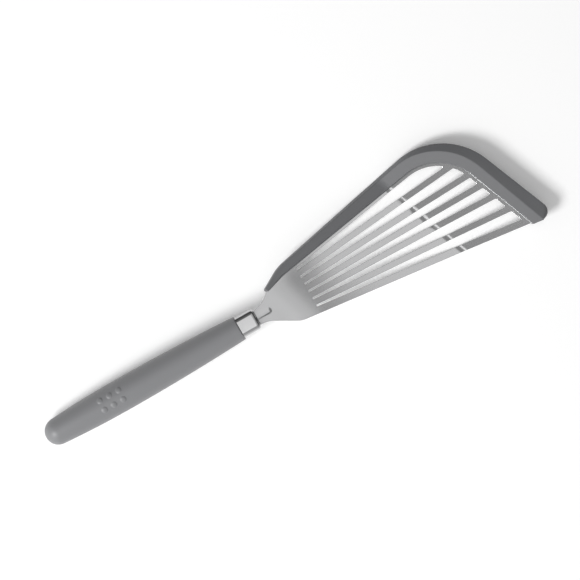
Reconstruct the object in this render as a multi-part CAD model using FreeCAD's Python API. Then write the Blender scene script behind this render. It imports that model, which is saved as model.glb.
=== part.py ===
import FreeCAD, Part
import math
import os

vector = FreeCAD.Vector

# Lengths run along x from just behind the ferrule's front face, with y to the left and z up.
# Places to the right of the axis are given as distances.

# Soft grip, turned in straight cuts along two curves, with a round tail
grip_length = 139.2
grip_front_width = 16.2
grip_full_width = 20.7
grip_full_from_front = 85.0
grip_tail_share = 0.84
grip_rim_chamfer = 1.0
grip_cuts = 2

# Stiff bar inside the grip, stopping short of its tail
core_end_wall = 9.0

# Ferrule, a drawn cup with a slotted front
ferrule_length = 12.4
ferrule_width = 13.6
ferrule_height = 9.2
ferrule_round = 3.2
ferrule_front = 0.4
ferrule_front_round = 2.4
ferrule_wall = 0.9

# Blade blank, laid out flat: lengths are those of the sheet before it is bent
sheet = 1.0
tang_length = 58.0
tang_round = 3.0
tang_hole = 4.0
tang_hole_from_end = 9.0
tang_hole_pitch = 16.0
neck_width = 9.6
neck_corner = 5.2
neck_round = 18.0
shoulder = 24.1
shoulder_left = 20.5
shoulder_round = 14.0
steel_front = 178.9
steel_corner_round = 39.5
steel_end_round = 3.0
steel_left_root = 21.2
steel_left_front = 47.7
rail_outer_root = 16.5
rail_outer_front = 29.7

# Slots: sideways places are given at the slot roots and at the slot fronts.
# The root and front shares spread the tines over the fan.
slot_root = 36.7
slot_front = 165.9
front_slant = 22.0
window_left_root = 15.3
window_left_front = 38.2
window_corner_round = 30.0
rail_inner_root = 12.0
rail_inner_front = 25.3
tine_width = 3.75
tine_root_spread = 10.35
tine_front_spread = 20.95
fan_centre_root = 1.5
fan_centre_front = 4.6
tine_root_shares = (1.0, 0.5, 0.0, -0.5, -1.0)
tine_front_shares = (1.0, 0.465, 0.0, -0.465, -1.0)
slot_root_round_share = 0.4
slot_tip_round = 1.0
slot_corner_angle = 12.0

# Stiffening bead pressed into the neck, starting inside the ferrule
bead_start = -2.0
bead_end = 11.0
bead_width = 3.2
bead_height = 0.7

# Bends: down at the neck, inside the ferrule, and up at the front, each along the sheet from its start
neck_bend_at = -2.0
neck_bend_angle = 11.5
neck_bend_radius = 12.0
front_bend_at = 121.2
front_bend_slant = 21.2
front_bend_angle = 20.0
front_bend_radius = 16.0
bend_shares = (0.0, 0.5, 1.0)

# Soft edge strip, flat before it is bent with the blade
edge_front = 183.2
edge_front_slant = 22.6
edge_corner_round = 43.5
edge_end_round = 6.0
edge_left_root = 23.9
edge_left_front = 52.2
edge_shoulder = 26.7
edge_shoulder_round = 30.0
ridge_front = 176.4
ridge_front_slant = 21.2
ridge_corner_round = 41.0
ridge_left_root = 22.8
ridge_left_front = 50.0
inner_front = 169.1
inner_corner_round = 32.4
inner_left_root = 17.8
inner_left_front = 41.0
inner_heel = 27.0
inner_heel_round = 20.0
flank = 1.5
edge_above = 1.9
edge_below = 0.8
edge_overhang = 1.0
tip_x = 12.2
tip_width = 1.6
tip_outer_y = 13.3
tip_inner_y = 10.6
tip_round = 1.2
tip_top_inset = 1.0
tip_top_round = 0.5

# Anchor holes under the strip, filled by it
anchor_width = 2.2
anchor_front_count = 3
anchor_front_right = 26.0
anchor_front_left = 22.0
anchor_left_count = 3
anchor_left_first = 44.0
anchor_left_last = 100.0

# Rounds of the search for the resting plane
rest_steps = 9

# Cutting shapes run past the solids they cut by this much
overrun = 20.0


def on(side_line, x):
    start, slope = side_line
    return (x, start + slope * x)


def side(at_root, at_front):
    slope = (at_front - at_root) / (slot_front - slot_root)
    return (at_root - slope * slot_root, slope)


def across(at_axis, slant):
    return (at_axis, math.tan(math.radians(slant)))


def meet(side_line, cross_line):
    start, slope = side_line
    at_axis, lean = cross_line
    y = (start + slope * at_axis) / (1 + slope * lean)
    return (at_axis - lean * y, y)


def rounded(corners, level):
    edges = []
    ends = []
    for index, (place, radius) in enumerate(corners):
        here = vector(place[0], place[1], level)
        before = vector(*corners[index - 1][0], level) - here
        after = vector(*corners[(index + 1) % len(corners)][0], level) - here
        before.normalize()
        after.normalize()
        half = before.getAngle(after) / 2
        middle = (before + after).normalize()
        setback = radius / math.tan(half)
        centre = here + middle * (radius / math.sin(half))
        first = here + before * setback
        last = here + after * setback
        edges.append(Part.Arc(first, centre - middle * radius, last).toShape())
        ends.append((first, last))
    sides = []
    for index in range(len(ends)):
        sides.append(edges[index])
        sides.append(Part.makeLine(ends[index][1], ends[(index + 1) % len(ends)][0]))
    return Part.Wire(sides)


def slab(corners, level, height):
    return Part.Face(rounded(corners, level)).extrude(vector(0, 0, height))


def plain_slab(points, level, height):
    loop = [vector(x, y, level) for x, y in points]
    return Part.Face(Part.makePolygon(loop + loop[:1])).extrude(vector(0, 0, height))


def is_corner(solid, edge):
    faces = solid.ancestorsOfType(edge, Part.Face)
    place = edge.valueAt(edge.FirstParameter)
    normals = [face.normalAt(*face.Surface.parameter(place)) for face in faces]
    return abs(normals[0].dot(normals[1])) < math.cos(math.radians(slot_corner_angle))


def upright_corners(solid):
    found = []
    for edge in solid.Edges:
        line = edge.valueAt(edge.LastParameter) - edge.valueAt(edge.FirstParameter)
        if abs(line.z) > edge.Length / 2 and is_corner(solid, edge):
            found.append(edge)
    return found


def tine(root_share, front_share):
    root_y = fan_centre_root + tine_root_spread * root_share
    front_y = fan_centre_front + tine_front_spread * front_share
    left = side(root_y + tine_width / 2, front_y + tine_width / 2)
    right = side(root_y - tine_width / 2, front_y - tine_width / 2)
    back = slot_root - overrun
    ahead = slot_front + overrun
    corners = [on(left, back), on(right, back), on(right, ahead), on(left, ahead)]
    return plain_slab(corners, -sheet, 2 * sheet)


def slots():
    rail = side(-rail_inner_root, -rail_inner_front)
    left = side(window_left_root, window_left_front)
    end = across(slot_front, front_slant)
    root_gap = tine_root_spread * (tine_root_shares[0] - tine_root_shares[1]) - tine_width
    root_round = slot_root_round_share * root_gap
    window = slab([
        (on(rail, slot_root), root_round),
        (meet(rail, end), slot_tip_round),
        (meet(left, end), window_corner_round),
        (on(left, slot_root), root_round),
    ], -sheet, 2 * sheet)
    tines = [tine(*shares) for shares in zip(tine_root_shares, tine_front_shares)]
    cutters = []
    for gap in window.cut(Part.makeCompound(tines)).Solids:
        corners = upright_corners(gap)
        roots = [edge for edge in corners if edge.CenterOfMass.x < slot_root + root_gap]
        tips = [edge for edge in corners if edge.CenterOfMass.x > slot_root + root_gap]
        if roots:
            gap = gap.makeFillet(root_round, roots)
            tips = [edge for edge in upright_corners(gap) if edge.CenterOfMass.x > slot_root + root_gap]
        if tips:
            gap = gap.makeFillet(slot_tip_round, tips)
        cutters.append(gap)
    return cutters


def rod(x, y, width):
    return Part.makeCylinder(width / 2, 2 * overrun, vector(x, y, -overrun))


def spread(first, last, count):
    return [first + (last - first) * step / (count - 1) for step in range(count)]


def anchors():
    front = across((inner_front + steel_front) / 2, front_slant)
    left = side((inner_left_root + steel_left_root) / 2, (inner_left_front + steel_left_front) / 2)
    holes = []
    for y in spread(-anchor_front_right, anchor_front_left, anchor_front_count):
        holes.append(rod(front[0] - front[1] * y, y, anchor_width))
    for x in spread(anchor_left_first, anchor_left_last, anchor_left_count):
        holes.append(rod(*on(left, x), anchor_width))
    return holes


def tang_holes():
    first = tang_hole_from_end - tang_length
    return [rod(x, 0, tang_hole) for x in (first, first + tang_hole_pitch)]


def along_neck(shape):
    arc = neck_bend_radius * math.radians(neck_bend_angle)
    shape.translate(vector(-arc, 0, 0))
    shape.rotate(vector(neck_bend_at, 0, -neck_bend_radius), vector(0, 1, 0), neck_bend_angle)
    return shape


def bead_form():
    radius = (bead_width * bead_width / 4 + bead_height * bead_height) / (2 * bead_height)
    level = sheet / 2 + bead_height - radius
    start = vector(bead_start, 0, level)
    end = vector(bead_end - bead_width / 2, 0, level)
    form = Part.makeCylinder(radius, end.x - start.x, start, vector(1, 0, 0))
    return form.fuse(Part.makeSphere(radius, end))


def beaded(blade):
    form = bead_form()
    length = bead_end - bead_start + 2 * bead_width
    above = Part.makeBox(length, neck_width, overrun, vector(bead_start - bead_width, -neck_width / 2, 0))
    hollow = form.translated(vector(0, 0, -sheet))
    ridge = along_neck(form.common(above))
    return blade.fuse(ridge).cut(along_neck(hollow)).removeSplitter()


def flat_blade():
    right = side(-rail_outer_root, -rail_outer_front)
    left = side(steel_left_root, steel_left_front)
    end = across(steel_front, front_slant)
    half = neck_width / 2
    blank = slab([
        ((-tang_length, -half), tang_round),
        ((neck_corner, -half), neck_round),
        (on(right, shoulder), shoulder_round),
        (meet(right, end), steel_end_round),
        (meet(left, end), steel_corner_round),
        (on(left, shoulder_left), shoulder_round),
        ((neck_corner, half), neck_round),
        ((-tang_length, half), tang_round),
    ], -sheet / 2, sheet)
    return blank.cut(slots() + anchors() + tang_holes())


def strip_outline(left, front, inner_left, inner_line, tips, rounds, level):
    end = side(-rail_outer_root - edge_overhang, -rail_outer_front - edge_overhang)
    corner_round, end_round, tip_corner_round = rounds
    return rounded([
        (tips[0], tip_corner_round),
        (tips[1], tip_corner_round),
        (on(inner_left, inner_heel), inner_heel_round),
        (meet(inner_left, inner_line), inner_corner_round),
        (meet(end, inner_line), tip_top_round),
        (meet(end, front), end_round),
        (meet(left, front), corner_round),
        (on(left, edge_shoulder), edge_shoulder_round),
    ], level)


def strip_base():
    return strip_outline(
        side(edge_left_root, edge_left_front),
        across(edge_front, edge_front_slant),
        side(inner_left_root - flank, inner_left_front - flank),
        across(inner_front - flank, front_slant),
        ((tip_x, tip_outer_y), (tip_x + tip_width, tip_inner_y)),
        (edge_corner_round, edge_end_round, tip_round),
        -sheet / 2,
    )


def strip_top():
    outer_tip = (tip_x + tip_top_inset, tip_outer_y)
    inner_tip = (tip_x + tip_width + tip_top_inset, tip_inner_y + tip_top_inset)
    return strip_outline(
        side(ridge_left_root, ridge_left_front),
        across(ridge_front, ridge_front_slant),
        side(inner_left_root, inner_left_front),
        across(inner_front, front_slant),
        (outer_tip, inner_tip),
        (ridge_corner_round, tip_top_round, tip_top_round),
        sheet / 2 + edge_above,
    )


def flat_strip(blade):
    body = Part.makeLoft([strip_base(), strip_top()], True, True)
    under = Part.Face(strip_base()).extrude(vector(0, 0, -edge_below))
    return body.fuse(under).cut(blade)


def bend(shape, at, slant, angle, radius):
    turn = FreeCAD.Rotation(vector(0, 0, 1), slant)
    ahead = turn.multVec(vector(1, 0, 0))
    line = turn.multVec(vector(0, 1, 0))
    start = vector(at, 0, 0)
    centre = start + vector(0, 0, math.copysign(radius, angle))
    arc = radius * math.radians(abs(angle))
    reach = tang_length + edge_front + overrun

    def ahead_of(place):
        half = Part.makeBox(reach, 2 * reach, 2 * reach, vector(0, -reach, -reach))
        half.Placement = FreeCAD.Placement(place, turn)
        return half

    def sections(place):
        corner = place - line * reach - vector(0, 0, reach)
        plane = Part.makePlane(2 * reach, 2 * reach, corner, ahead, line)
        return sorted(shape.common(plane).Faces, key=lambda face: face.CenterOfMass.dot(line))

    def curled(piece, share):
        piece = piece.copy()
        piece.translate(ahead * (-arc * share))
        piece.rotate(centre, line, -angle * share)
        return piece

    pieces = [shape.cut(ahead_of(start))]
    stations = [sections(start + ahead * (arc * share)) for share in bend_shares]
    for faces in zip(*stations):
        wires = [curled(face, share).OuterWire for face, share in zip(faces, bend_shares)]
        pieces.append(Part.makeLoft(wires, True, False))
    pieces.append(curled(shape.common(ahead_of(start + ahead * arc)), 1))
    return pieces[0].fuse(pieces[1:]).removeSplitter()


def bent(shape):
    shape = bend(shape, front_bend_at, front_bend_slant, front_bend_angle, front_bend_radius)
    return bend(shape, neck_bend_at, 0, -neck_bend_angle, neck_bend_radius)


def tail_radius():
    return grip_tail_share * grip_full_width / 2


def handle_centres():
    full = grip_full_width / 2
    tail = tail_radius()
    full_x = -ferrule_length - grip_full_from_front
    drop = full - grip_front_width / 2
    ahead = grip_full_from_front - grip_rim_chamfer
    tail_x = tail - grip_length - ferrule_length
    behind = full_x - tail_x
    front_radius = (ahead * ahead + drop * drop) / (2 * drop)
    thinner = full - tail
    back_radius = (behind * behind + thinner * (full + tail)) / (2 * thinner)
    front_centre = vector(full_x, full - front_radius, 0)
    back_centre = vector(full_x, full - back_radius, 0)
    return front_centre, back_centre, vector(tail_x, 0, 0)


def handle_radius(x):
    front_centre, back_centre, tail_centre = handle_centres()
    centre = front_centre if x > front_centre.x else back_centre
    reach = grip_full_width / 2 - centre.y
    return centre.y + math.sqrt(reach * reach - (x - centre.x) ** 2)


def handle_body():
    front_centre, back_centre, tail_centre = handle_centres()
    front = -ferrule_length
    rim = front - grip_rim_chamfer
    end = vector(front - grip_length, 0, 0)
    join = tail_centre + (tail_centre - back_centre).normalize() * tail_radius()
    cap = tail_centre + vector(-1, 1, 0).normalize() * tail_radius()
    places = spread(rim, front_centre.x, grip_cuts + 1)
    places += spread(front_centre.x, join.x, grip_cuts + 1)[1:]
    curve = [vector(x, handle_radius(x), 0) for x in places]
    face_edge = vector(front, curve[0].y - grip_rim_chamfer, 0)
    edges = [
        *Part.makePolygon([end, vector(front, 0, 0), face_edge, *curve]).Edges,
        Part.Arc(curve[-1], cap, end).toShape(),
    ]
    return Part.Face(Part.Wire(edges)).revolve(vector(0, 0, 0), vector(1, 0, 0), 360)


def cup_form(width, height, corner_round, back, front):
    corners = []
    for down, right in ((-1, -1), (1, -1), (1, 1), (-1, 1)):
        corners.append(((down * height / 2, right * width / 2), corner_round))
    form = slab(corners, back, front - back)
    form.rotate(vector(0, 0, 0), vector(0, 1, 0), 90)
    return form


def bar():
    width = ferrule_width - 2 * ferrule_wall
    height = ferrule_height - 2 * ferrule_wall
    back = core_end_wall - grip_length - ferrule_length
    return cup_form(width, height, ferrule_round - ferrule_wall, back, ferrule_front - ferrule_wall)


def make_ferrule(blade):
    cup = cup_form(ferrule_width, ferrule_height, ferrule_round, -ferrule_length, ferrule_front)
    rim = [edge for edge in cup.Edges if edge.BoundBox.XMin > ferrule_front - ferrule_wall]
    return cup.makeFillet(ferrule_front_round, rim).cut([bar(), blade])


def make_core(blade):
    return bar().cut(blade)


def make_grip():
    return handle_body().cut(bar())


def bend_axis_point(y):
    lean = math.tan(math.radians(front_bend_slant))
    neck_arc = neck_bend_radius * math.radians(neck_bend_angle)
    place = vector(front_bend_at - lean * y - neck_arc, y, front_bend_radius)
    turn = FreeCAD.Rotation(vector(0, 1, 0), neck_bend_angle)
    centre = vector(neck_bend_at, 0, -neck_bend_radius)
    return centre + turn.multVec(place - centre)


def handle_touch(up):
    front_centre, back_centre, tail_centre = handle_centres()
    join = tail_centre + (tail_centre - back_centre).normalize() * tail_radius()
    radius = grip_full_width / 2 - back_centre.y
    level = math.hypot(up.y, up.z)
    reach = back_centre.y + radius * level
    touch = vector(back_centre.x - radius * up.x, -reach * up.y / level, -reach * up.z / level)
    return touch if touch.x > join.x else tail_centre - up * tail_radius()


def resting_up():
    up = vector(0, 0, 1)
    rail = side(-rail_outer_root, -rail_outer_front)
    strip = side(inner_left_root, inner_left_front)
    right = bend_axis_point(on(rail, front_bend_at)[1])
    left = bend_axis_point(on(strip, front_bend_at)[1])
    for step in range(rest_steps):
        right_touch = right - up * (front_bend_radius + sheet / 2)
        left_touch = left - up * (front_bend_radius + sheet / 2 + edge_below)
        tail = handle_touch(up)
        up = (right_touch - tail).cross(left_touch - tail).normalize()
    return up


def at_rest(shapes):
    turn = FreeCAD.Rotation(resting_up(), vector(0, 0, 1))
    for shape in shapes:
        shape.Placement = FreeCAD.Placement(vector(0, 0, 0), turn)
    box = Part.makeCompound(shapes).optimalBoundingBox(False, False)
    shift = vector(-box.Center.x, -box.Center.y, -box.ZMin)
    for shape in shapes:
        shape.translate(shift)


flat = flat_blade()
parts = {
    "blade": beaded(bent(flat)),
    "edge_strip": bent(flat_strip(flat)),
    "grip": make_grip(),
}
parts["ferrule"] = make_ferrule(parts["blade"])
parts["handle_core"] = make_core(parts["blade"])
at_rest(list(parts.values()))
os.makedirs("parts", exist_ok=True)
for name, shape in parts.items():
    print(name, "is valid" if shape.isValid() else "is faulty")
    shape.exportStep("parts/" + name + ".step")
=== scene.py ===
import math
import bmesh
import bpy
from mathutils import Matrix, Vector


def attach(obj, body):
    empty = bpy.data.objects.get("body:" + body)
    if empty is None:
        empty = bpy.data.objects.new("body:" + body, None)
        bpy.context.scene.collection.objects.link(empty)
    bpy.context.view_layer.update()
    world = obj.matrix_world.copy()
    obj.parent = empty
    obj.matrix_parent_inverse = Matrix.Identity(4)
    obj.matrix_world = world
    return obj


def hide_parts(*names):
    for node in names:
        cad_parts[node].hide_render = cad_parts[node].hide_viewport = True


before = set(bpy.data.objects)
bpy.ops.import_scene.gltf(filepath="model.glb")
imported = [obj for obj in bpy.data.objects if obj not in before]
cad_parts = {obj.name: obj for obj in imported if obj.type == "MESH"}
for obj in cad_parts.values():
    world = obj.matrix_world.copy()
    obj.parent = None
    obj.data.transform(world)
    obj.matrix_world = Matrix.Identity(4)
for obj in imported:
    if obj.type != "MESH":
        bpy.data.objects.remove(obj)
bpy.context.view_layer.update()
scene = bpy.context.scene
print("frame loaded with", len(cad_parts), "nodes")


# small helpers for node trees: an input is a plain value or another node's output
def put(tree, kind, inputs=None, **settings):
    node = tree.nodes.new(kind)
    for name, value in settings.items():
        setattr(node, name, value)
    for name, value in (inputs or {}).items():
        if isinstance(value, bpy.types.NodeSocket):
            tree.links.new(value, node.inputs[name])
        else:
            node.inputs[name].default_value = value
    return node


def sums(tree, operation, first, second):
    return put(tree, "ShaderNodeMath", {0: first, 1: second}, operation=operation).outputs[0]


def mixed(tree, first, second, firstShare):
    rest = sums(tree, "MULTIPLY", second, 1 - firstShare)
    return sums(tree, "ADD", sums(tree, "MULTIPLY", first, firstShare), rest)


def around(tree, middle, swing, depth):
    return sums(tree, "ADD", middle, sums(tree, "MULTIPLY", swing, depth))


def stretched(tree, coord, along, across):
    spread = put(tree, "ShaderNodeCombineXYZ", {"X": along, "Y": across, "Z": across}).outputs[0]
    return put(tree, "ShaderNodeVectorMath", {0: coord, 1: spread}, operation="MULTIPLY").outputs[0]


def newGroup(name, inputs, outputs):
    group = bpy.data.node_groups.new(name, "ShaderNodeTree")
    for label, start in inputs.items():
        socket = group.interface.new_socket(label, in_out="INPUT", socket_type="NodeSocketFloat")
        socket.default_value = start
    for label in outputs:
        group.interface.new_socket(label, in_out="OUTPUT", socket_type="NodeSocketFloat")
    return group, group.nodes.new("NodeGroupInput").outputs, group.nodes.new("NodeGroupOutput").inputs


# fine polishing lines that run along X, with slow cloudy changes over them
polishMix = {"lineShare": 0.6, "lineDetail": 4.0, "lineRoughness": 0.65, "cloudDetail": 3.0, "middle": 0.5}
polishStart = {
    "Line Length": 120.0, "Line Width": 5200.0, "Cloud Size": 40.0,
    "Tone Depth": 0.1, "Gloss": 0.2, "Gloss Depth": 0.06,
}


def makePolishLines():
    group, given, made = newGroup("polishLines", polishStart, ["Tone", "Roughness", "Height"])
    coord = put(group, "ShaderNodeTexCoord").outputs["Object"]
    lines = put(group, "ShaderNodeTexNoise", {
        "Vector": stretched(group, coord, given["Line Length"], given["Line Width"]), "Scale": 1.0,
        "Detail": polishMix["lineDetail"], "Roughness": polishMix["lineRoughness"]}).outputs["Fac"]
    clouds = put(group, "ShaderNodeTexNoise", {
        "Vector": coord, "Scale": given["Cloud Size"], "Detail": polishMix["cloudDetail"]}).outputs["Fac"]
    swing = sums(group, "SUBTRACT", mixed(group, lines, clouds, polishMix["lineShare"]), polishMix["middle"])
    group.links.new(around(group, 1.0, swing, given["Tone Depth"]), made["Tone"])
    group.links.new(around(group, given["Gloss"], swing, given["Gloss Depth"]), made["Roughness"])
    group.links.new(lines, made["Height"])
    return group


# the skin of moulded rubber and plastic: fine grain, faint mottling
skinMix = {
    "grainShare": 0.4, "grainDetail": 2.0, "grainRoughness": 0.5, "mottleDetail": 3.0,
    "reliefShare": 0.5, "middle": 0.5,
}
skinStart = {"Grain Size": 2600.0, "Mottle Size": 60.0, "Tone Depth": 0.08, "Gloss": 0.5, "Gloss Depth": 0.1}


def makeMouldSkin():
    group, given, made = newGroup("mouldSkin", skinStart, ["Tone", "Roughness", "Height"])
    coord = put(group, "ShaderNodeTexCoord").outputs["Object"]
    grain = put(group, "ShaderNodeTexNoise", {
        "Vector": coord, "Scale": given["Grain Size"],
        "Detail": skinMix["grainDetail"], "Roughness": skinMix["grainRoughness"]}).outputs["Fac"]
    pits = put(group, "ShaderNodeTexVoronoi", {
        "Vector": coord, "Scale": given["Grain Size"]}).outputs["Distance"]
    mottle = put(group, "ShaderNodeTexNoise", {
        "Vector": coord, "Scale": given["Mottle Size"], "Detail": skinMix["mottleDetail"]}).outputs["Fac"]
    swing = sums(group, "SUBTRACT", mixed(group, grain, mottle, skinMix["grainShare"]), skinMix["middle"])
    group.links.new(around(group, 1.0, swing, given["Tone Depth"]), made["Tone"])
    group.links.new(around(group, given["Gloss"], swing, given["Gloss Depth"]), made["Roughness"])
    group.links.new(mixed(group, grain, pits, skinMix["reliefShare"]), made["Height"])
    return group


polishLines = makePolishLines()
mouldSkin = makeMouldSkin()
print("shader groups ready")


def finished(name, group, looks, effect, shader):
    material = bpy.data.materials.new(name)
    material.use_nodes = True
    tree = material.node_tree
    tree.nodes.clear()
    detail = put(tree, "ShaderNodeGroup", effect, node_tree=group).outputs
    colour = put(tree, "ShaderNodeVectorMath", {
        0: looks["colour"], "Scale": detail["Tone"]}, operation="SCALE").outputs[0]
    bump = put(tree, "ShaderNodeBump", {
        "Height": detail["Height"], "Strength": looks["bump"], "Distance": looks["relief"]}).outputs[0]
    surface = put(tree, "ShaderNodeBsdfPrincipled", {
        **shader, "Base Color": colour, "Roughness": detail["Roughness"], "Normal": bump}).outputs[0]
    put(tree, "ShaderNodeOutputMaterial", {"Surface": surface})
    material.diffuse_color = (*looks["colour"], 1.0)
    return material


def dress(piece, material):
    piece.data.materials.clear()
    piece.data.materials.append(material)


# cuts that give a flat sheet the points for its soft forms
cutLooks = {"slack": 1e-6, "levelLeast": 0.9}
lengthways = (1, 0, 0)
crossways = (0, 1, 0)


def isLevel(face):
    return abs(face.normal.z) > cutLooks["levelLeast"]


def cutAt(shape, faces, place, normal):
    edges = dict.fromkeys(edge for face in faces for edge in face.edges)
    verts = dict.fromkeys(vert for face in faces for vert in face.verts)
    bmesh.ops.bisect_plane(
        shape, geom=[*verts, *edges, *faces], plane_co=place, plane_no=normal, dist=cutLooks["slack"])


# evenly spaced cuts from first to last, through the faces that are chosen
def cutRow(shape, first, last, count, normal, chosen):
    for step in range(count + 1):
        place = first + (last - first) * step / count
        faces = [face for face in shape.faces if chosen(face)]
        cutAt(shape, faces, [place * part for part in normal], normal)


# the pressed sheet isn't quite flat: it dips behind the slot roots and rises slowly past them
dipLooks = {
    "start": -0.0233, "lowest": 0.0002, "steepest": 0.0142, "end": 0.0522, "depth": 0.00076,
    "middle": 0.004, "halfWide": 0.026, "lean": 0.28, "spread": 1.17, "cutsAlong": 50, "cutsAcross": 20,
}


# to the right of the middle the dip lies further forward and is longer, and to the left it fades
def dipAt(along, sideways):
    dip = dipLooks
    right = max(dip["middle"] - sideways, 0.0)
    left = min(max(sideways - dip["middle"], 0.0) / dip["halfWide"], 1.0)
    along -= dip["lean"] * right
    near = dip["steepest"] - dip["lowest"]
    far = (dip["end"] - dip["steepest"]) * (1 + dip["spread"] * right / dip["halfWide"])
    rise = dip["depth"] / (dip["end"] - dip["lowest"]) * math.cos(math.pi / 2 * left) ** 2
    depth = rise * (near + far)
    if not dip["start"] < along < dip["steepest"] + far:
        return 0.0
    if along < dip["lowest"]:
        share = (along - dip["start"]) / (dip["lowest"] - dip["start"])
        return -depth * (share - math.sin(2 * math.pi * share) / (2 * math.pi))
    if along < dip["steepest"]:
        share = (along - dip["lowest"]) / near
        return rise * near * (share - math.sin(math.pi * share) / math.pi) - depth
    share = (along - dip["steepest"]) / far
    return rise * (near + far * (share + math.sin(math.pi * share) / math.pi)) - depth


def dipped(shape):
    dip = dipLooks
    last = dip["end"] + dip["lean"] * dip["halfWide"] + dip["spread"] * (dip["end"] - dip["steepest"])
    low, high = dip["middle"] - dip["halfWide"], dip["middle"] + dip["halfWide"]

    def inLength(face):
        return dip["start"] < face.calc_center_median().x < last

    cutRow(shape, dip["start"], last, dip["cutsAlong"], lengthways, lambda face: True)
    cutRow(shape, low, high, dip["cutsAcross"], crossways, inLength)
    for vert in shape.verts:
        vert.co.z += dipAt(vert.co.x, vert.co.y)


# the bead in the neck is a soft groove: the solid's ridge is laid flat and the groove pressed in its place
beadLooks = {
    "start": -0.0245, "end": -0.008, "middle": -0.00405, "rightWide": 0.00265, "leftWide": 0.0032,
    "depth": 0.00028, "endFrom": -0.0115, "endLength": 0.0024, "cutsAlong": 20, "cutsAcross": 22,
    "sheet": 0.001, "topShare": 0.25, "flat": 0.4,
}


def inBead(place):
    bead = beadLooks
    sideways = place.y - bead["middle"]
    return bead["start"] < place.x < bead["end"] and -bead["rightWide"] < sideways < bead["leftWide"]


def beadAt(place):
    bead = beadLooks
    past = max(place.x - bead["endFrom"], 0.0) / bead["endLength"]
    sideways = place.y - bead["middle"]
    away = min(math.hypot(past, sideways / bead["leftWide" if sideways > 0 else "rightWide"]), 1.0)
    return -bead["depth"] * math.cos(math.pi / 2 * away) ** 2


def flattened(shape):
    bead = beadLooks
    tops = [face for face in shape.faces if face.normal.z > cutLooks["levelLeast"]]
    sheet = max(tops, key=lambda face: face.calc_area())
    place, upward = sheet.calc_center_median(), sheet.normal.copy()
    near = [vert for vert in shape.verts if inBead(vert.co)]
    for vert in near:
        height = (vert.co - place).dot(upward)
        level = 0.0 if height > -bead["sheet"] * bead["topShare"] else -bead["sheet"]
        vert.co += upward * (level - height)
    edges = list(dict.fromkeys(edge for vert in near for edge in vert.link_edges))
    bmesh.ops.dissolve_limit(shape, angle_limit=math.radians(bead["flat"]), verts=near, edges=edges)
    shape.normal_update()


def pressed(shape):
    bead = beadLooks
    low, high = bead["middle"] - bead["rightWide"], bead["middle"] + bead["leftWide"]

    def inLength(face):
        return isLevel(face) and bead["start"] < face.calc_center_median().x < bead["end"]

    def inside(face):
        return isLevel(face) and inBead(face.calc_center_median())

    cutRow(shape, bead["start"], bead["end"], 1, lengthways, isLevel)
    cutRow(shape, low, high, 1, crossways, inLength)
    cutRow(shape, bead["endFrom"], bead["end"], bead["cutsAlong"], lengthways, inside)
    cutRow(shape, low, high, bead["cutsAcross"], crossways, inside)
    for vert in shape.verts:
        if inBead(vert.co):
            vert.co.z += beadAt(vert.co)


# the strip's slope down to the steel, which keeps its crisp edges
flankLooks = {"leastRise": 0.1, "mostRise": 0.94, "outward": (0.8, 0.6, 0.0), "inward": -0.1}


def isFlank(face):
    flank = flankLooks
    slopes = flank["leastRise"] < face.normal.z < flank["mostRise"]
    return slopes and face.normal.dot(Vector(flank["outward"])) < flank["inward"]


roundProfile = 0.5  # a true arc
quadCorners = 4


def rounded(shape, edges, width, steps):
    bmesh.ops.bevel(
        shape, geom=edges, offset=width, offset_type="OFFSET", profile_type="SUPERELLIPSE", segments=steps,
        profile=roundProfile, affect="EDGES", clamp_overlap=False, material=-1, loop_slide=True)


def eased(shape, ease):
    bmesh.ops.remove_doubles(shape, verts=shape.verts, dist=ease["weld"])
    bmesh.ops.dissolve_limit(
        shape, angle_limit=math.radians(ease["flat"]), verts=shape.verts, edges=shape.edges)
    if ease["beads"]:
        flattened(shape)
    sharp = [edge for edge in shape.edges if edge.calc_face_angle_signed(0.0) > math.radians(ease["angle"])]
    if ease["flanks"]:
        sharp = [edge for edge in sharp if not any(isFlank(face) for face in edge.link_faces)]
    rounded(shape, sharp, ease["width"], ease["steps"])
    for edge in shape.edges:
        edge.smooth = edge.calc_face_angle(0.0) < math.radians(ease["crisp"])
    if ease["beads"]:
        pressed(shape)
    if ease["dips"]:
        dipped(shape)
    if ease["beads"]:
        bmesh.ops.dissolve_degenerate(shape, dist=cutLooks["slack"], edges=shape.edges)
    if ease["flanks"]:
        large = [face for face in shape.faces if len(face.verts) > quadCorners]
        bmesh.ops.triangulate(shape, faces=large, quad_method="BEAUTY", ngon_method="BEAUTY")
        bmesh.ops.dissolve_degenerate(shape, dist=ease["weld"], edges=shape.edges)
    for face in shape.faces:
        face.smooth = True


# a finer copy of a CAD node, with its sharp edges eased
def easedCopy(node, name, ease):
    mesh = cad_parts[node].data.copy()
    shape = bmesh.new()
    shape.from_mesh(mesh)
    eased(shape, ease)
    shape.to_mesh(mesh)
    shape.free()
    piece = bpy.data.objects.new(name, mesh)
    scene.collection.objects.link(piece)
    piece.modifiers.new("evenNormals", "WEIGHTED_NORMAL").keep_sharp = True
    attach(piece, "root")
    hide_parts(node)
    return piece


# blade: satin stainless sheet
bladeLooks = {
    "ease": {
        "weld": 6e-5, "flat": 0.4, "width": 0.00013, "steps": 3, "angle": 32, "crisp": 60,
        "dips": True, "beads": True, "flanks": False},
    "looks": {"colour": (0.56, 0.562, 0.567), "bump": 0.01, "relief": 0.00002},
    "lines": {
        "Line Length": 90.0, "Line Width": 5200.0, "Cloud Size": 38.0,
        "Tone Depth": 0.1, "Gloss": 0.14, "Gloss Depth": 0.05},
    "shader": {"Metallic": 1.0},
}
blade = easedCopy("blade", "satinBlade", bladeLooks["ease"])
bladeSteel = finished(
    "satinSteel", polishLines, bladeLooks["looks"], bladeLooks["lines"], bladeLooks["shader"])
dress(blade, bladeSteel)
dress(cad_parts["blade"], bladeSteel)
print("blade made")

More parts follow.
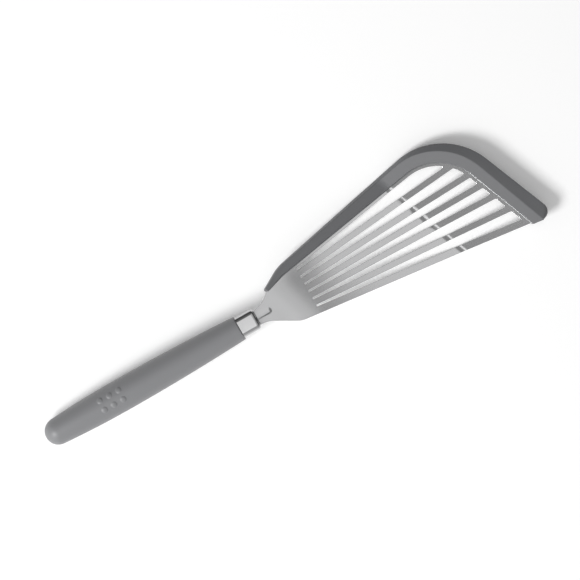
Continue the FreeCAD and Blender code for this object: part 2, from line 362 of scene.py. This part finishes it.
# soft strip moulded along the front and left edges
stripLooks = {
    "ease": {
        "weld": 2e-6, "flat": 0.2, "width": 0.0004, "steps": 3, "angle": 14, "crisp": 40,
        "dips": True, "beads": False, "flanks": True},
    "looks": {"colour": (0.145, 0.147, 0.153), "bump": 0.12, "relief": 0.00004},
    "skin": {
        "Grain Size": 2400.0, "Mottle Size": 70.0, "Tone Depth": 0.08, "Gloss": 0.42, "Gloss Depth": 0.1},
    "shader": {"Specular IOR Level": 0.6},
}
strip = easedCopy("edge_strip", "siliconeStrip", stripLooks["ease"])
stripSkin = finished(
    "edgeSilicone", mouldSkin, stripLooks["looks"], stripLooks["skin"], stripLooks["shader"])
dress(strip, stripSkin)
dress(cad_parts["edge_strip"], stripSkin)
print("edge strip made")

# ferrule: small polished cup between the grip and the blade
ferruleLooks = {
    "ease": {
        "weld": 2e-6, "flat": 0.2, "width": 0.00015, "steps": 3, "angle": 35, "crisp": 60,
        "dips": False, "beads": False, "flanks": False},
    "looks": {"colour": (0.53, 0.531, 0.535), "bump": 0.02, "relief": 0.00001},
    "lines": {
        "Line Length": 400.0, "Line Width": 7000.0, "Cloud Size": 90.0,
        "Tone Depth": 0.05, "Gloss": 0.1, "Gloss Depth": 0.05},
    "shader": {"Metallic": 1.0},
}
ferrule = easedCopy("ferrule", "polishedFerrule", ferruleLooks["ease"])
ferruleSteel = finished(
    "polishedSteel", polishLines, ferruleLooks["looks"], ferruleLooks["lines"], ferruleLooks["shader"])
dress(ferrule, ferruleSteel)
dress(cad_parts["ferrule"], ferruleSteel)
print("ferrule made")

# stiff bar hidden inside the grip
coreLooks = {
    "looks": {"colour": (0.045, 0.046, 0.05), "bump": 0.2, "relief": 0.00005},
    "skin": {
        "Grain Size": 1500.0, "Mottle Size": 90.0, "Tone Depth": 0.15, "Gloss": 0.55, "Gloss Depth": 0.1},
    "shader": {"Specular IOR Level": 0.45},
}
dress(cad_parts["handle_core"], finished(
    "corePlastic", mouldSkin, coreLooks["looks"], coreLooks["skin"], coreLooks["shader"]))
print("core dressed")

# soft grip: turned round its own axis, with a plain block of raised dots on top
gripLooks = {
    "front": (-0.032644, -0.004372, 0.0170258),
    "forward": (0.997999, 0.001245, 0.063219),
    "up": (-0.063219, 0.039318, 0.997225),
    "length": 0.1392, "frontRadius": 0.0081, "fullRadius": 0.01035, "fullAt": 0.085,
    "tailRadius": 0.0087, "rimRound": 0.0006, "tuck": 0.00004,
    "openWide": 0.00592, "openHigh": 0.00372, "openRound": 0.0023, "openDepth": 0.13024,
    "dotRows": (0.0033, -0.0033), "dotPlaces": (0.0848, 0.0915, 0.0982),
    "dotRadius": 0.0019, "dotHeight": 0.0005, "dotShape": 0.55, "dotMargin": 0.003,
    "rimSteps": 6, "tailSteps": 12, "ringGap": 0.0016, "dotRingGap": 0.0003, "lastGap": 0.0004,
    "topTurn": 35.0, "topGap": 1.75, "sideGap": 5.0, "crisp": 50.0,
    "looks": {"colour": (0.215, 0.217, 0.224), "bump": 0.1, "relief": 0.00005},
    "skin": {
        "Grain Size": 2200.0, "Mottle Size": 45.0, "Tone Depth": 0.06, "Gloss": 0.45, "Gloss Depth": 0.1},
    "shader": {"Specular IOR Level": 0.45, "Sheen Weight": 0.1, "Sheen Roughness": 0.5},
}
quarterTurn = math.radians(90)
leastLine = 1e-9  # keeps a division off zero


# places along the grip from its front, each with its radius
def gripStations():
    grip = gripLooks
    tailAt = grip["length"] - grip["tailRadius"]
    drop = grip["fullRadius"] - grip["frontRadius"]
    ahead = grip["fullAt"] - grip["rimRound"]
    frontBend = (ahead * ahead + drop * drop) / (2 * drop)
    behind = tailAt - grip["fullAt"]
    thinner = grip["fullRadius"] - grip["tailRadius"]
    backBend = (behind * behind + thinner * (grip["fullRadius"] + grip["tailRadius"])) / (2 * thinner)
    lean = math.atan2(behind, backBend - grip["fullRadius"])
    stations = []
    for step in range(grip["rimSteps"], -1, -1):  # rounded front rim
        turn = quarterTurn * step / grip["rimSteps"]
        inward = grip["rimRound"] * (1 - math.cos(turn))
        stations.append((grip["rimRound"] * (1 - math.sin(turn)), grip["frontRadius"] - inward))
    tailJoin = tailAt + grip["tailRadius"] * math.sin(lean)
    dotsFrom = grip["dotPlaces"][0] - grip["dotMargin"]
    dotsTo = grip["dotPlaces"][-1] + grip["dotMargin"]
    place = grip["rimRound"]
    while place < tailJoin - grip["lastGap"]:  # bowed length, with closer rings at the dots
        place += grip["dotRingGap"] if dotsFrom < place < dotsTo else grip["ringGap"]
        if place < tailJoin:
            bend = frontBend if place < grip["fullAt"] else backBend
            reach = math.sqrt(bend ** 2 - (place - grip["fullAt"]) ** 2)
            stations.append((place, grip["fullRadius"] - bend + reach))
    for step in range(grip["tailSteps"] + 1):  # round tail
        turn = lean + (quarterTurn - lean) * step / grip["tailSteps"]
        back = grip["tailRadius"] * math.sin(turn)
        stations.append((tailAt + back, grip["tailRadius"] * math.cos(turn)))
    return stations


# turns round the axis from the top, closer together where the dots are
def gripAngles():
    grip = gripLooks
    angles = []
    turn = 0.0
    while turn < 360.0:
        angles.append(math.radians(turn))
        atTop = turn < grip["topTurn"] or turn >= 360.0 - grip["topTurn"]
        turn += grip["topGap"] if atTop else grip["sideGap"]
    return angles


def dotRise(place, sideways):
    grip = gripLooks
    rise = 0.0
    for dotPlace in grip["dotPlaces"]:
        for dotRow in grip["dotRows"]:
            away = math.hypot(place - dotPlace, sideways - dotRow) / grip["dotRadius"]
            if away < 1:
                rise = max(rise, grip["dotHeight"] * (1 - away ** 2) ** grip["dotShape"])
    return rise


def skinRadius(place, radius, turn):
    rise = dotRise(place, radius * math.sin(turn)) if math.cos(turn) > 0 else 0.0
    return radius - gripLooks["tuck"] + rise


# the opening for the core is a rectangle with round corners
def openEdge(turn):
    grip = gripLooks
    lineX, lineY = abs(math.sin(turn)), abs(math.cos(turn))
    wide, high, corner = grip["openWide"], grip["openHigh"], grip["openRound"]
    reach = min(wide / max(lineX, leastLine), high / max(lineY, leastLine))
    if reach * lineX > wide - corner and reach * lineY > high - corner:
        centreX, centreY = wide - corner, high - corner
        along = lineX * centreX + lineY * centreY
        reach = along + math.sqrt(along ** 2 - centreX ** 2 - centreY ** 2 + corner ** 2)
    return reach


def makeGrip():
    grip = gripLooks
    forward, up = Vector(grip["forward"]), Vector(grip["up"])
    left = up.cross(forward)
    front = Vector(grip["front"])
    shape = bmesh.new()
    angles = gripAngles()

    def ring(place, radii):
        made = []
        for turn, radius in zip(angles, radii):
            offset = up * (radius * math.cos(turn)) + left * (radius * math.sin(turn))
            made.append(shape.verts.new(front - forward * place + offset))
        return made

    bore = [openEdge(turn) for turn in angles]
    rings = [ring(grip["openDepth"], bore), ring(0.0, bore)]
    stations = gripStations()
    for place, radius in stations[:-1]:
        rings.append(ring(place, [skinRadius(place, radius, turn) for turn in angles]))
    for inner, outer in zip(rings, rings[1:]):
        for index in range(len(angles)):
            after = (index + 1) % len(angles)
            shape.faces.new((inner[index], inner[after], outer[after], outer[index]))
    shape.faces.new(rings[0])
    tip = shape.verts.new(front - forward * (stations[-1][0] - grip["tuck"]))
    for index in range(len(angles)):
        shape.faces.new((rings[-1][index], rings[-1][(index + 1) % len(angles)], tip))
    bmesh.ops.recalc_face_normals(shape, faces=shape.faces)
    for face in shape.faces:
        face.smooth = True
    mesh = bpy.data.meshes.new("softGrip")
    shape.to_mesh(mesh)
    shape.free()
    mesh.set_sharp_from_angle(angle=math.radians(grip["crisp"]))
    piece = bpy.data.objects.new("softGrip", mesh)
    scene.collection.objects.link(piece)
    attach(piece, "root")
    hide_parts("grip")
    return piece


softGrip = makeGrip()
gripSkin = finished("gripRubber", mouldSkin, gripLooks["looks"], gripLooks["skin"], gripLooks["shader"])
dress(softGrip, gripSkin)
dress(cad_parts["grip"], gripSkin)
print("grip made")

# floor, world, lamps and camera
stageLooks = {
    "floor": (0.95, 0.95, 0.95), "floorLift": 0.16, "floorSize": 6.0,
    "worldMiddle": 0.336, "worldSwing": 0.32, "brightSide": (-0.75, -0.95, 0.0), "worldLeast": 0.09,
    "ceiling": 0.3, "ceilingShape": 5.0,
    "aim": (0.02, 0.0, 0.01),
    "lamps": {
        "keyBox": {"at": (-1.75, -0.33, 1.67), "size": (0.85, 0.85), "power": 50.0, "straightDown": False},
        "frontBox": {"at": (0.5, 0.1, 1.2), "size": (0.4, 0.8), "power": 0.74, "straightDown": True},
        "backBox": {"at": (-0.14, -0.165, 1.2), "size": (0.2, 0.57), "power": 0.375, "straightDown": True},
        "midBox": {"at": (0.13, 0.025, 1.2), "size": (0.34, 0.55), "power": 0.059, "straightDown": True},
    },
    "camera": {"over": (0.00641, 0.00078), "height": 1.6, "turn": -29.52, "width": 0.3625},
}


# pale paper, lifted a little where it is seen or mirrored, so that shadows stay light
def makeFloor():
    half = stageLooks["floorSize"] / 2
    corners = [(-half, -half, 0), (half, -half, 0), (half, half, 0), (-half, half, 0)]
    mesh = bpy.data.meshes.new("floor")
    mesh.from_pydata(corners, [], [(0, 1, 2, 3)])
    floor = bpy.data.objects.new("floor", mesh)
    scene.collection.objects.link(floor)
    paper = bpy.data.materials.new("palePaper")
    paper.use_nodes = True
    tree = paper.node_tree
    tree.nodes.clear()
    matte = put(tree, "ShaderNodeBsdfDiffuse", {"Color": (*stageLooks["floor"], 1.0)})
    path = put(tree, "ShaderNodeLightPath").outputs
    mirrored = sums(tree, "MAXIMUM", path["Is Glossy Ray"], path["Is Transmission Ray"])
    seen = sums(tree, "MAXIMUM", path["Is Camera Ray"], mirrored)
    strength = sums(tree, "MULTIPLY", seen, stageLooks["floorLift"])
    lift = put(tree, "ShaderNodeEmission", {"Strength": strength})
    both = put(tree, "ShaderNodeAddShader", {0: matte.outputs[0], 1: lift.outputs[0]})
    put(tree, "ShaderNodeOutputMaterial", {"Surface": both.outputs[0]})
    dress(floor, paper)


# the room is brighter on one side, darker overhead, and plain white to the camera
def makeRoom():
    world = bpy.data.worlds.new("studio")
    world.use_nodes = True
    tree = world.node_tree
    tree.nodes.clear()
    towards = put(tree, "ShaderNodeTexCoord").outputs["Generated"]
    facing = put(tree, "ShaderNodeVectorMath", {
        0: towards, 1: stageLooks["brightSide"]}, operation="DOT_PRODUCT").outputs["Value"]
    level = around(tree, stageLooks["worldMiddle"], facing, stageLooks["worldSwing"])
    level = sums(tree, "MAXIMUM", level, stageLooks["worldLeast"])
    height = put(tree, "ShaderNodeSeparateXYZ", {0: towards}).outputs["Z"]
    overhead = sums(tree, "POWER", sums(tree, "MAXIMUM", height, 0.0), stageLooks["ceilingShape"])
    shade = sums(tree, "SUBTRACT", 1.0, sums(tree, "MULTIPLY", overhead, stageLooks["ceiling"]))
    seen = put(tree, "ShaderNodeLightPath").outputs["Is Camera Ray"]
    strength = sums(tree, "MAXIMUM", sums(tree, "MULTIPLY", level, shade), seen)
    glow = put(tree, "ShaderNodeBackground", {"Color": (1.0, 1.0, 1.0, 1.0), "Strength": strength})
    put(tree, "ShaderNodeOutputWorld", {"Surface": glow.outputs[0]})
    scene.world = world


def makeLamps():
    aim = Vector(stageLooks["aim"])
    for name, lamp in stageLooks["lamps"].items():
        data = bpy.data.lights.new(name, "AREA")
        data.shape = "RECTANGLE"
        data.size, data.size_y = lamp["size"]
        data.energy = lamp["power"]
        box = bpy.data.objects.new(name, data)
        box.location = lamp["at"]
        if not lamp["straightDown"]:
            box.rotation_euler = (aim - box.location).to_track_quat("-Z", "Y").to_euler()
        box.visible_camera = False
        scene.collection.objects.link(box)


def makeCamera():
    place = stageLooks["camera"]
    data = bpy.data.cameras.new("overhead")
    data.type = "ORTHO"
    data.ortho_scale = place["width"]
    camera = bpy.data.objects.new("overhead", data)
    camera.location = (*place["over"], place["height"])
    camera.rotation_euler = (0, 0, math.radians(place["turn"]))
    scene.collection.objects.link(camera)
    scene.camera = camera


makeFloor()
makeRoom()
makeLamps()
makeCamera()
scene.view_settings.view_transform = "Standard"
print("stage, lamps and camera ready")
